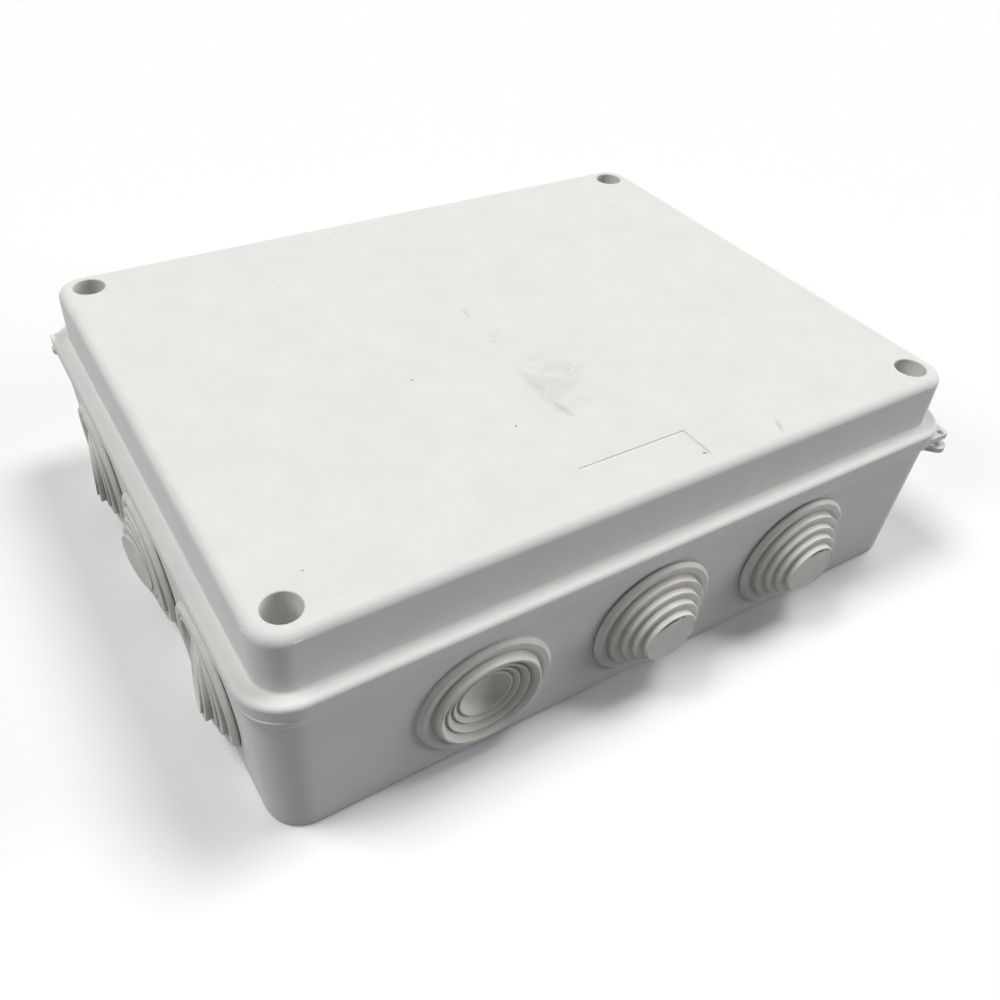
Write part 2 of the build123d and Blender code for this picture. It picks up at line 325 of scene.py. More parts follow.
softPvc = {
    "colour": "#DDDCD6",
    "cloudColour": "#D2D0C8",
    "cloudMm": 6.0,
    "cloudNoise": {"Detail": 3.0},
    "cloudFade": (0.35, 0.7),
    "grainMm": 1.1,  # mould grain, coarser than real so that it shows
    "grainNoise": {"Detail": 2.0},
    "grainDepthMm": 0.05,
    "grainStrength": 0.2,
    "roughness": (0.45, 0.6),
    "ior": 1.52,
    "paintedShadeColour": "#8C8375",  # painted shade, warm grey-brown, in the grooves at the rings' roots and round the flange
    "paintedShadeStrength": 0.42,
    "slitShade": "#0C0B0A",  # painted shade: the slit drawn near black, as its dark inside
}


def mouldedSoftPvc():
    # Plasticised PVC, injection moulded in a polished tool: smooth, waxy and a little warmer
    # than the box, with a soft broad highlight
    material, tree, skin, place = startMaterial("mouldedSoftPvc")
    base = cloudAndGrain(tree, skin, place, softPvc)
    # painted shade: the grooves at the rings' roots and round the flange darkened towards a warm
    # grey-brown
    paintedShade = addNode(tree, "ShaderNodeAttribute", {"attribute_name": "paintedShade"})
    shadeShare = addNode(
        tree, "ShaderNodeMapRange",
        {"interpolation_type": "SMOOTHSTEP", "To Max": softPvc["paintedShadeStrength"]},
        {"Value": paintedShade.outputs["Fac"]},
    )
    shaded = addNode(
        tree, "ShaderNodeMix",
        {"data_type": "RGBA", 7: hexColour(softPvc["paintedShadeColour"])},
        {0: shadeShare.outputs["Result"], 6: base},
    )
    # painted shade: the slit along the end disc's edge drawn near black
    slit = addNode(tree, "ShaderNodeAttribute", {"attribute_name": "slit"})
    shadedSlit = addNode(
        tree, "ShaderNodeMix",
        {"data_type": "RGBA", 7: hexColour(softPvc["slitShade"])},
        {0: slit.outputs["Fac"], 6: shaded.outputs[2]},
    )
    tree.links.new(shadedSlit.outputs[2], skin.inputs["Base Color"])
    return material


neoprene = {
    "colour": "#33332F",
    "poreShadeColour": "#191917",
    "poreMm": 0.9,
    "poreDepthMm": 0.2,
    "poreStrength": 0.6,
    "roughness": 0.92,
}


def foamedNeoprene():
    # Closed-cell neoprene foam, skived from a sheet: dead matt and dark, pitted with small
    # pores, each darkened towards its middle by painted shade
    material, tree, skin, place = startMaterial("foamedNeoprene")
    pores = addNode(
        tree, "ShaderNodeTexVoronoi",
        {"Scale": 1 / (neoprene["poreMm"] * mm)},
        {"Vector": place},
    )
    # painted shade: each pore darker towards its middle, where its bump is deepest
    base = addNode(
        tree, "ShaderNodeMix",
        {"data_type": "RGBA", 6: hexColour(neoprene["poreShadeColour"]), 7: hexColour(neoprene["colour"])},
        {0: pores.outputs["Distance"]},
    )
    bump = addNode(
        tree, "ShaderNodeBump",
        {"Strength": neoprene["poreStrength"], "Distance": neoprene["poreDepthMm"] * mm},
        {"Height": pores.outputs["Distance"]},
    )
    skin.inputs["Roughness"].default_value = neoprene["roughness"]
    tree.links.new(base.outputs[2], skin.inputs["Base Color"])
    tree.links.new(bump.outputs["Normal"], skin.inputs["Normal"])
    return material


zinc = {
    "colour": "#C6C8C4",
    "stainColour": "#A9A796",
    "stainMm": 2.2,
    "stainNoise": {"Detail": 4.0},
    "roughness": (0.3, 0.5),
}


def platedSteel():
    # Steel, cold headed and zinc plated: a silvery metal with a slightly uneven, faintly
    # yellow passivated skin
    material, tree, skin, place = startMaterial("zincPlatedSteel")
    stain = addNode(
        tree, "ShaderNodeTexNoise",
        {"Scale": 1 / (zinc["stainMm"] * mm), **zinc["stainNoise"]},
        {"Vector": place},
    )
    base = addNode(
        tree, "ShaderNodeMix",
        {"data_type": "RGBA", 6: hexColour(zinc["colour"]), 7: hexColour(zinc["stainColour"])},
        {0: stain.outputs["Fac"]},
    )
    polish = addNode(
        tree, "ShaderNodeMapRange",
        {"To Min": zinc["roughness"][0], "To Max": zinc["roughness"][1]},
        {"Value": stain.outputs["Fac"]},
    )
    skin.inputs["Metallic"].default_value = 1.0
    tree.links.new(base.outputs[2], skin.inputs["Base Color"])
    tree.links.new(polish.outputs["Result"], skin.inputs["Roughness"])
    return material


absBase = mouldedAbs("mouldedAbsBase")
absLid = mouldedAbs("mouldedAbsLid", lidMarks)
pvcGrommet = mouldedSoftPvc()
foamGasket = foamedNeoprene()
steelScrew = platedSteel()
print("materials made")


def keepPiece(piece, body, slotName, *nodes):  # a finished piece rides, and stands for its nodes
    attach(piece, body)
    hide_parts(*nodes)


def evenNormals(piece):  # large faces stay flat where a rounded edge meets them
    normals = piece.modifiers.new("evenNormals", "WEIGHTED_NORMAL")
    normals.mode = "FACE_AREA"
    normals.weight = 90  # of 100: the larger faces win
    normals.keep_sharp = True


# Box shells: the CAD shapes with their facets merged, edges broken and normals evened out
shell = {"mergeMm": 0.001, "flatDeg": 0.3, "sharpDeg": 28, "edgeMm": 0.22, "edgeSegments": 2}


def dressShell(node, material, body):
    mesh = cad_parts[node].data.copy()
    mesh.name = node + "Skin"
    work = bmesh.new()
    work.from_mesh(mesh)
    bmesh.ops.remove_doubles(work, verts=work.verts, dist=shell["mergeMm"] * mm)
    bmesh.ops.dissolve_limit(
        work, angle_limit=radians(shell["flatDeg"]), verts=work.verts, edges=work.edges,
        use_dissolve_boundaries=False,
    )
    work.to_mesh(mesh)
    work.free()
    mesh.materials.clear()
    mesh.materials.append(material)
    mesh.polygons.foreach_set("use_smooth", [True] * len(mesh.polygons))
    piece = bpy.data.objects.new(node + "_skin", mesh)
    bpy.context.scene.collection.objects.link(piece)
    edges = piece.modifiers.new("brokenEdges", "BEVEL")
    edges.limit_method = "ANGLE"
    edges.angle_limit = radians(shell["sharpDeg"])
    edges.width = shell["edgeMm"] * mm
    edges.segments = shell["edgeSegments"]
    edges.use_clamp_overlap = True
    evenNormals(piece)
    keepPiece(piece, body, "box_plastic", node)


dressShell("base_shell", absBase, "base")
dressShell("lid_shell", absLid, "lid")
print("shells dressed")


def startTree(name, inputs):  # an empty tree with a geometry socket and its named inputs
    tree = bpy.data.node_groups.new(name, "GeometryNodeTree")
    tree.interface.new_socket("Geometry", in_out="INPUT", socket_type="NodeSocketGeometry")
    for label, kind in inputs.items():
        tree.interface.new_socket(label, in_out="INPUT", socket_type="NodeSocket" + kind)
    tree.interface.new_socket("Geometry", in_out="OUTPUT", socket_type="NodeSocketGeometry")
    return tree, addNode(tree, "NodeGroupInput").outputs


# The lathe's turning circle is almost a point, so that a profile keeps its radii
turning = {"circleMm": 0.001, "weldMm": 0.004, "sharpDeg": 28}


def makeLatheTree():
    # rounds the corners of a profile by each point's own bend, then turns it about Z
    tree, given = startTree("lathe", {"Turns": "Int", "Corner Steps": "Int"})
    line = addNode(tree, "GeometryNodeMeshToCurve", {}, {"Mesh": given["Geometry"]})
    bend = addNode(tree, "GeometryNodeInputNamedAttribute", {"data_type": "FLOAT", "Name": "bend"})
    profile = addNode(
        tree, "GeometryNodeFilletCurve",
        {"mode": "POLY", "Limit Radius": True},
        {
            "Curve": line.outputs["Curve"], "Count": given["Corner Steps"],
            "Radius": bend.outputs["Attribute"],
        },
    )
    axis = addNode(
        tree, "GeometryNodeCurvePrimitiveCircle",
        {"mode": "RADIUS", "Radius": turning["circleMm"] * mm},
        {"Resolution": given["Turns"]},
    )
    upright = addNode(
        tree, "GeometryNodeSetCurveNormal", {"mode": "Z_UP"}, {"Curve": axis.outputs["Curve"]}
    )
    turned = addNode(
        tree, "GeometryNodeCurveToMesh", {},
        {"Curve": upright.outputs["Curve"], "Profile Curve": profile.outputs["Curve"]},
    )
    closed = addNode(
        tree, "GeometryNodeMergeByDistance",
        {"Distance": turning["weldMm"] * mm},
        {"Geometry": turned.outputs["Mesh"]},
    )
    addNode(tree, "NodeGroupOutput", {}, {"Geometry": closed.outputs["Geometry"]})
    return tree


lathe = makeLatheTree()


def profileObject(corners):
    # a chain of corners (radius, height and bend in mm, and how much painted shade darkens it, 0 if
    # left out) for the lathe, which takes a profile's radius along X and its height against Y
    mesh = bpy.data.meshes.new("profile")
    points = [(corner[0] * mm, -corner[1] * mm, 0) for corner in corners]
    mesh.from_pydata(points, [(i, i + 1) for i in range(len(points) - 1)], [])
    bends = mesh.attributes.new("bend", "FLOAT", "POINT")
    bends.data.foreach_set("value", [corner[2] * mm for corner in corners])
    paintedShade = mesh.attributes.new("paintedShade", "FLOAT", "POINT")
    paintedShade.data.foreach_set("value", [sum(corner[3:]) for corner in corners])
    return bpy.data.objects.new("profile", mesh)


def bakeNodes(name, source, tree, values):  # runs a tree on an object, and keeps a plain mesh
    modifier = source.modifiers.new("maker", "NODES")
    modifier.node_group = tree
    for item in tree.interface.items_tree:
        if item.in_out == "INPUT" and item.name in values:
            modifier[item.identifier] = values[item.name]
    bpy.context.scene.collection.objects.link(source)
    view = bpy.context.evaluated_depsgraph_get()
    mesh = bpy.data.meshes.new_from_object(source.evaluated_get(view))
    source.modifiers.remove(modifier)
    bpy.data.objects.remove(source)
    work = bmesh.new()
    work.from_mesh(mesh)
    bmesh.ops.recalc_face_normals(work, faces=work.faces)
    work.to_mesh(mesh)
    work.free()
    mesh.name = name
    mesh.polygons.foreach_set("use_smooth", [True] * len(mesh.polygons))
    mesh.set_sharp_from_angle(angle=radians(turning["sharpDeg"]))
    piece = bpy.data.objects.new(name, mesh)
    bpy.context.scene.collection.objects.link(piece)
    return piece


# Grommets: a rounded stepped profile, turned, and bent where the photo's noses are bent
grommet = {
    "flangeRadiusMm": 22.1,
    "flangeEdgeMm": 1.1,  # the slope of its rounded edge, across and down
    "flangeBendMm": 0.6,
    "moatMm": (0.3, 1.6),  # a groove round the first ring, from its root to its far side
    "moatDepthMm": 0.7,
    "moatBendMm": 0.5,
    "crownMm": 0.1,  # how far the flange's face rises from there to its edge
    "gapMm": 0.35,  # the flange's edge stands off the wall by this
    "seatMm": (0.8, 1.0),  # how far in from the edge it comes down to the wall
    "neckRadiusMm": 17.9,
    "wallMm": 2.5,
    "beadRadiusMm": 19.6,
    "beadHeightMm": 2.0,
    "beadBevelMm": 1.2,
    "skinMm": 1.2,
    "ringRadiiMm": (17.6, 14.7, 12.2, 9.55),
    "edgeMm": 0.4,  # rounding of its edges
    "rootMm": 0.2,  # and of its inner corners
    "fineMm": 0.1,  # and of its smallest corners
    "rootShade": 1.0,  # how much painted shade darkens the rings' roots
    "flangeShade": 0.8,  # and round the flange
    "wallLeanDeg": 2.161,
    "turns": 128,
    "cornerSteps": 4,
}

# The three ends of a nose: a plain disc in a fine lip, with a slit where it has torn; a dish,
# where it was pushed in; and front 1's, telescoped into itself as three thin cups
disc = {"lipMm": 0.5, "lipDropMm": 0.1, "slitMm": 1.1, "sideMm": 0.05, "slitFade": (0.88, 0.93)}
dish = {"radiusMm": 6.0, "depthMm": 3.0, "bendMm": 2.5, "innerBendMm": 1.5}
cups = {
    "radiiMm": (13.7, 11.1, 8.8),
    "topsMm": (3.9, 2.7, 2.0),
    "grooveMm": 1.05,
    "sideMm": 0.1,
    "lipMm": 0.4,
    "lipBendMm": 0.15,
    "rimMm": 0.7,
    "bowlMm": 4.0,
    "bowlRadiusMm": 6.4,
    "bowlRiseMm": 1.0,
    "bowlBendMm": 3.0,
}

# A nose as it is moulded, and those that were pushed about in the photo
plainNose = {
    "flangeMm": 2.2,  # how far the flange rises
    "risesMm": (2.1, 2.1, 2.1, 2.1),  # and then each ring
    "taperMm": 0.0,  # how far each ring narrows as it rises
    "end": "disc",
    "towardsDeg": 90,  # the side that it leans to: 0 is along the wall, 90 up it
    "lean": 0.0,  # how much of its height it loses there
    "leanFromMm": 2.2,  # and from which height
    "dentMm": 0.0,  # how deep that side is dented
    "slitMm": 0.0,  # and how deep its slit is
    "downMm": 0.0,  # how far the grommet hangs down in its hole
}
noses = {
    "front_1": {
        **plainNose, "flangeMm": 3.2, "risesMm": (2.1,), "taperMm": 0.8, "end": "cups",
        "downMm": 0.6,
    },
    "front_2": {**plainNose, "towardsDeg": 102, "slitMm": 0.9},
    "front_3": {**plainNose, "towardsDeg": 88, "slitMm": 0.8},
    "left_1": {
        **plainNose, "risesMm": (1.3, 0.9, 2.4, 1.6), "end": "dish", "lean": 1.0,
        "towardsDeg": 145, "dentMm": 1.6,
    },
    "left_2": {
        **plainNose, "risesMm": (0.8, 1.2, 1.6, 2.2), "lean": 1.15, "leanFromMm": 3.0,
        "towardsDeg": 5,
    },
    "left_3": {
        **plainNose, "risesMm": (1.25, 0.85, 2.65, 1.65), "end": "dish", "lean": 1.05,
        "towardsDeg": 145, "dentMm": 3.0,
    },
}


def noseCorners(nose):  # the outer and inner corners of a nose, from its root to its middle
    g = grommet
    skin = g["skinMm"]
    taper = nose["taperMm"]
    outer = []
    inner = []
    height = nose["flangeMm"]
    for radius, rise in zip(g["ringRadiiMm"], nose["risesMm"]):
        outer.append((radius, height, g["rootMm"], g["rootShade"]))
        inner.append((radius - skin, height - skin, g["rootMm"]))
        height += rise
        outer.append((radius - taper, height, g["edgeMm"]))
        inner.append((radius - skin - taper, height - skin, g["edgeMm"]))
    if nose["end"] == "cups":
        middle = cupCorners(g["ringRadiiMm"][0] - taper - cups["rimMm"], height)
        under = [(corner[0], corner[1] - skin, corner[2]) for corner in middle]
    elif nose["end"] == "dish":
        bottom = height - dish["depthMm"]
        middle = [(dish["radiusMm"], bottom, dish["bendMm"]), (0, bottom, 0)]
        under = [
            (dish["radiusMm"] + skin, bottom - skin, dish["innerBendMm"]),
            (0, bottom - skin, 0),
        ]
    else:
        middle = discCorners(g["ringRadiiMm"][-1] - disc["lipMm"], height)
        under = [(0, height - skin, 0)]
    return outer + middle, inner + under


def cupCorners(rim, height):
    corners = [(rim, height, grommet["edgeMm"])]
    for radius, top in zip(cups["radiiMm"], cups["topsMm"]):
        groove = top - cups["grooveMm"]
        corners.append((radius + cups["sideMm"], groove, grommet["fineMm"], grommet["rootShade"]))
        corners.append((radius, top, cups["lipBendMm"]))
        corners.append((radius - cups["lipMm"], top, cups["lipBendMm"]))
    bowl = cups["topsMm"][-1] - cups["bowlMm"]
    corners.append((cups["bowlRadiusMm"], bowl + cups["bowlRiseMm"], cups["bowlBendMm"]))
    corners.append((0, bowl, 0))
    return corners


def discCorners(lip, height):
    floor = height - disc["lipDropMm"]
    slit = lip - disc["slitMm"]
    side = disc["sideMm"]
    return [
        (lip, height, grommet["fineMm"]), (lip - side, floor, 0), (slit, floor, 0),
        (slit - side, floor, 0), (0, floor, 0),
    ]


def grommetProfile(nose):  # the whole skin, from the nose's middle round to its middle inside
    g = grommet
    outer, inner = noseCorners(nose)
    edge = g["edgeMm"]
    fine = g["fineMm"]
    face = nose["flangeMm"]
    ring = g["ringRadiiMm"][0]
    rim = g["flangeRadiusMm"]
    bead = g["beadRadiusMm"]
    beadEnd = -g["wallMm"] - g["beadHeightMm"]
    around = [
        (ring + g["moatMm"][0], face - g["moatDepthMm"], g["rootMm"], g["flangeShade"]),
        (ring + g["moatMm"][1], face - g["crownMm"], g["moatBendMm"]),
        (rim - g["flangeEdgeMm"], face, g["flangeBendMm"]),
        (rim, face - g["flangeEdgeMm"], edge),
        (rim, g["gapMm"], fine, g["flangeShade"]),
        (rim - g["seatMm"][0], g["gapMm"], 0),
        (rim - g["seatMm"][1], 0, 0),
        (g["neckRadiusMm"], 0, 0),
        (g["neckRadiusMm"], -g["wallMm"], 0),
        (bead, -g["wallMm"], edge),
        (bead, beadEnd + g["beadBevelMm"], edge),
        (bead - g["beadBevelMm"], beadEnd, edge),
        (ring - g["skinMm"], beadEnd, edge),
    ]
    return list(reversed(outer)) + around + inner


def makeGrommetTree():
    # turns the profile, then sinks its nose towards one side: by a lean that grows with the
    # height, a dent inside the first ring, and a slit along the end disc's edge, which it marks for
    # painted shade
    tree, given = startTree("turnedGrommet", {
        "Turns": "Int", "Corner Steps": "Int", "Towards": "Vector", "Nose Radius": "Float",
        "Lean": "Float", "Lean From": "Float", "Dent": "Float", "Dent Radius": "Float",
        "Slit Depth": "Float", "Slit Radius": "Float", "Slit Width": "Float",
        "Slit Above": "Float", "Material": "Material",
    })
    turned = addNode(
        tree, "GeometryNodeGroup", {"node_tree": lathe},
        {
            "Geometry": given["Geometry"], "Turns": given["Turns"],
            "Corner Steps": given["Corner Steps"],
        },
    )
    place = addNode(tree, "GeometryNodeInputPosition").outputs["Position"]
    flat = addNode(tree, "ShaderNodeVectorMath", {"operation": "MULTIPLY", 1: (1, 1, 0)}, {0: place})
    radius = addNode(
        tree, "ShaderNodeVectorMath", {"operation": "LENGTH"}, {0: flat.outputs["Vector"]}
    )
    along = addNode(
        tree, "ShaderNodeVectorMath", {"operation": "DOT_PRODUCT"}, {0: place, 1: given["Towards"]}
    )
    reach = addNode(
        tree, "ShaderNodeMath",
        {"operation": "DIVIDE"},
        {0: along.outputs["Value"], 1: given["Nose Radius"]},
    )
    share = addNode(
        tree, "ShaderNodeMapRange", {"From Min": -1.0, "From Max": 1.0}, {"Value": reach.outputs[0]}
    )
    parts = addNode(tree, "ShaderNodeSeparateXYZ", {}, {"Vector": place})
    raised = addNode(
        tree, "ShaderNodeMath",
        {"operation": "SUBTRACT"},
        {0: parts.outputs["Z"], 1: given["Lean From"]},
    )
    above = addNode(
        tree, "ShaderNodeMath", {"operation": "MAXIMUM", 1: 0.0}, {0: raised.outputs[0]}
    )
    lost = addNode(
        tree, "ShaderNodeMath",
        {"operation": "MULTIPLY"},
        {0: above.outputs[0], 1: share.outputs["Result"]},
    )
    lean = addNode(
        tree, "ShaderNodeMath", {"operation": "MULTIPLY"}, {0: lost.outputs[0], 1: given["Lean"]}
    )
    cubed = addNode(
        tree, "ShaderNodeMath", {"operation": "POWER", 1: 3.0}, {0: share.outputs["Result"]}
    )
    inNose = addNode(
        tree, "ShaderNodeMath",
        {"operation": "LESS_THAN"},
        {0: radius.outputs["Value"], 1: given["Dent Radius"]},
    )
    dentShare = addNode(
        tree, "ShaderNodeMath", {"operation": "MULTIPLY"}, {0: cubed.outputs[0], 1: inNose.outputs[0]}
    )
    leanAndDent = addNode(
        tree, "ShaderNodeMath",
        {"operation": "MULTIPLY_ADD"},
        {0: dentShare.outputs[0], 1: given["Dent"], 2: lean.outputs[0]},
    )
    inSlit = addNode(
        tree, "ShaderNodeMath",
        {"operation": "COMPARE"},
        {0: radius.outputs["Value"], 1: given["Slit Radius"], 2: given["Slit Width"]},
    )
    slitReach = addNode(
        tree, "ShaderNodeMath",
        {"operation": "DIVIDE"},
        {0: along.outputs["Value"], 1: given["Slit Radius"]},
    )
    slitShare = addNode(
        tree, "ShaderNodeMapRange",
        {"From Min": disc["slitFade"][0], "From Max": disc["slitFade"][1]},
        {"Value": slitReach.outputs[0]},
    )
    outside = addNode(  # not on the skin inside the nose
        tree, "ShaderNodeMath",
        {"operation": "GREATER_THAN"},
        {0: parts.outputs["Z"], 1: given["Slit Above"]},
    )
    outerSlit = addNode(
        tree, "ShaderNodeMath",
        {"operation": "MULTIPLY"},
        {0: outside.outputs[0], 1: inSlit.outputs[0]},
    )
    slitSide = addNode(
        tree, "ShaderNodeMath",
        {"operation": "MULTIPLY"},
        {0: slitShare.outputs["Result"], 1: outerSlit.outputs[0]},
    )
    sunk = addNode(
        tree, "ShaderNodeMath",
        {"operation": "MULTIPLY_ADD"},
        {0: slitSide.outputs[0], 1: given["Slit Depth"], 2: leanAndDent.outputs[0]},
    )
    shadedSlit = addNode(
        tree, "ShaderNodeMath",
        {"operation": "GREATER_THAN", 1: 0.0},
        {0: given["Slit Depth"]},
    )
    slitShade = addNode(
        tree, "ShaderNodeMath",
        {"operation": "MULTIPLY"},
        {0: slitSide.outputs[0], 1: shadedSlit.outputs[0]},
    )
    # the slit's outer skin is marked, for the painted shade in the material
    marked = addNode(
        tree, "GeometryNodeStoreNamedAttribute",
        {"data_type": "FLOAT", "domain": "POINT", "Name": "slit"},
        {"Geometry": turned.outputs["Geometry"], "Value": slitShade.outputs[0]},
    )
    down = addNode(
        tree, "ShaderNodeVectorMath",
        {"operation": "SCALE", 0: (0, 0, -1)},
        {"Scale": sunk.outputs[0]},
    )
    bent = addNode(
        tree, "GeometryNodeSetPosition", {},
        {"Geometry": marked.outputs["Geometry"], "Offset": down.outputs["Vector"]},
    )
    real = addNode(
        tree, "GeometryNodeRealizeInstances", {}, {"Geometry": bent.outputs["Geometry"]}
    )
    dressed = addNode(
        tree, "GeometryNodeSetMaterial", {},
        {"Geometry": real.outputs["Geometry"], "Material": given["Material"]},
    )
    addNode(tree, "NodeGroupOutput", {}, {"Geometry": dressed.outputs["Geometry"]})
    return tree


def wallPlace(node, side):
    # the frame on the wall's outer face at an entry: its Z points out, and its Y up the wall
    low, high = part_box(node)
    lean = radians(grommet["wallLeanDeg"])
    beadEnd = grommet["wallMm"] + grommet["beadHeightMm"]
    beadFlat = grommet["beadRadiusMm"] - grommet["beadBevelMm"]
    inwards = (beadEnd * cos(lean) + beadFlat * sin(lean)) * mm
    outwards = {
        "front": Vector((0, -1, 0)), "right": Vector((1, 0, 0)),
        "back": Vector((0, 1, 0)), "left": Vector((-1, 0, 0)),
    }[side]
    innerEnd = high if side in ("front", "left") else low
    centre = (low + high) / 2
    axis = 1 if side in ("front", "back") else 0
    centre[axis] = innerEnd[axis] + inwards * outwards[axis]
    out = outwards * cos(lean) - Vector((0, 0, sin(lean)))
    along = Vector((0, 0, 1)).cross(outwards)
    up = out.cross(along)
    return Matrix.LocRotScale(centre, Matrix((along, up, out)).transposed(), None)


def makeGrommets():
    tree = makeGrommetTree()
    g = grommet
    slitRadius = g["ringRadiiMm"][-1] - disc["lipMm"] - (disc["slitMm"] + disc["sideMm"]) / 2
    for side in ("front", "right", "back", "left"):
        for number in (1, 2, 3):
            key = f"{side}_{number}"
            nose = noses.get(key, plainNose)
            towards = radians(nose["towardsDeg"])
            height = nose["flangeMm"] + sum(nose["risesMm"])
            piece = bakeNodes(f"grommet_{key}_turned", profileObject(grommetProfile(nose)), tree, {
                "Turns": g["turns"],
                "Corner Steps": g["cornerSteps"],
                "Towards": (cos(towards), sin(towards), 0.0),
                "Nose Radius": g["ringRadiiMm"][0] * mm,
                "Lean": nose["lean"],
                "Lean From": nose["leanFromMm"] * mm,
                "Dent": nose["dentMm"] * mm,
                "Dent Radius": (g["ringRadiiMm"][0] - g["skinMm"]) * mm,
                "Slit Depth": nose["slitMm"] * mm,
                "Slit Radius": slitRadius * mm,
                "Slit Width": disc["slitMm"] / 2 * mm,
                "Slit Above": (height - g["skinMm"] / 2) * mm,
                "Material": pvcGrommet,
            })
            down = Matrix.Translation((0, -nose["downMm"] * mm, 0))
            piece.data.transform(wallPlace("grommet_" + key, side) @ down)
            evenNormals(piece)
            keepPiece(piece, "base", "grommet_rubber", "grommet_" + key)


makeGrommets()
print("grommets turned")


# Screws: a turned body with a cross recess cut in its head and a thread wound round its shank
screw = {
    "coreRadiusMm": 1.35,
    "crestRadiusMm": 1.95,
    "headRadiusMm": 3.8,
    "headHeightMm": 2.6,
    "headSideMm": 1.3,
    "headBendMm": 0.9,
    "crownDropMm": 0.15,  # half way out, the head is lower than its middle by this
    "crownBendMm": 3.0,
    "seatBendMm": 0.15,
    "pointRadiusMm": 0.5,
    "pointMm": 3.0,
    "pointBendMm": 0.1,
    "coneBendMm": 0.5,
    "pitchMm": 1.4,
    "threadSinkMm": 0.05,  # how far the thread's bar is sunk in the core
    "threadFootMm": 0.1,  # how far above the point it starts
    "threadBareMm": 0.6,  # and how much of the shank it leaves bare at its two ends
    "threadSteps": 24,
    "recessSpanMm": 4.6,
    "recessWidthMm": 1.1,
    "recessDepthMm": 1.5,
    "recessTaper": 0.45,
    "turns": 48,
    "cornerSteps": 6,
}


def screwProfile(length):  # from the tip's middle up to the head's middle
    s = screw
    seat = length - s["headHeightMm"]
    return [
        (0, 0, 0),
        (s["pointRadiusMm"], 0, s["pointBendMm"]),
        (s["coreRadiusMm"], s["pointMm"], s["coneBendMm"]),
        (s["coreRadiusMm"], seat, 0),
        (s["headRadiusMm"], seat, s["seatBendMm"]),
        (s["headRadiusMm"], seat + s["headSideMm"], s["headBendMm"]),
        (0.5 * s["headRadiusMm"], length - s["crownDropMm"], s["crownBendMm"]),
        (0, length, 0),
    ]


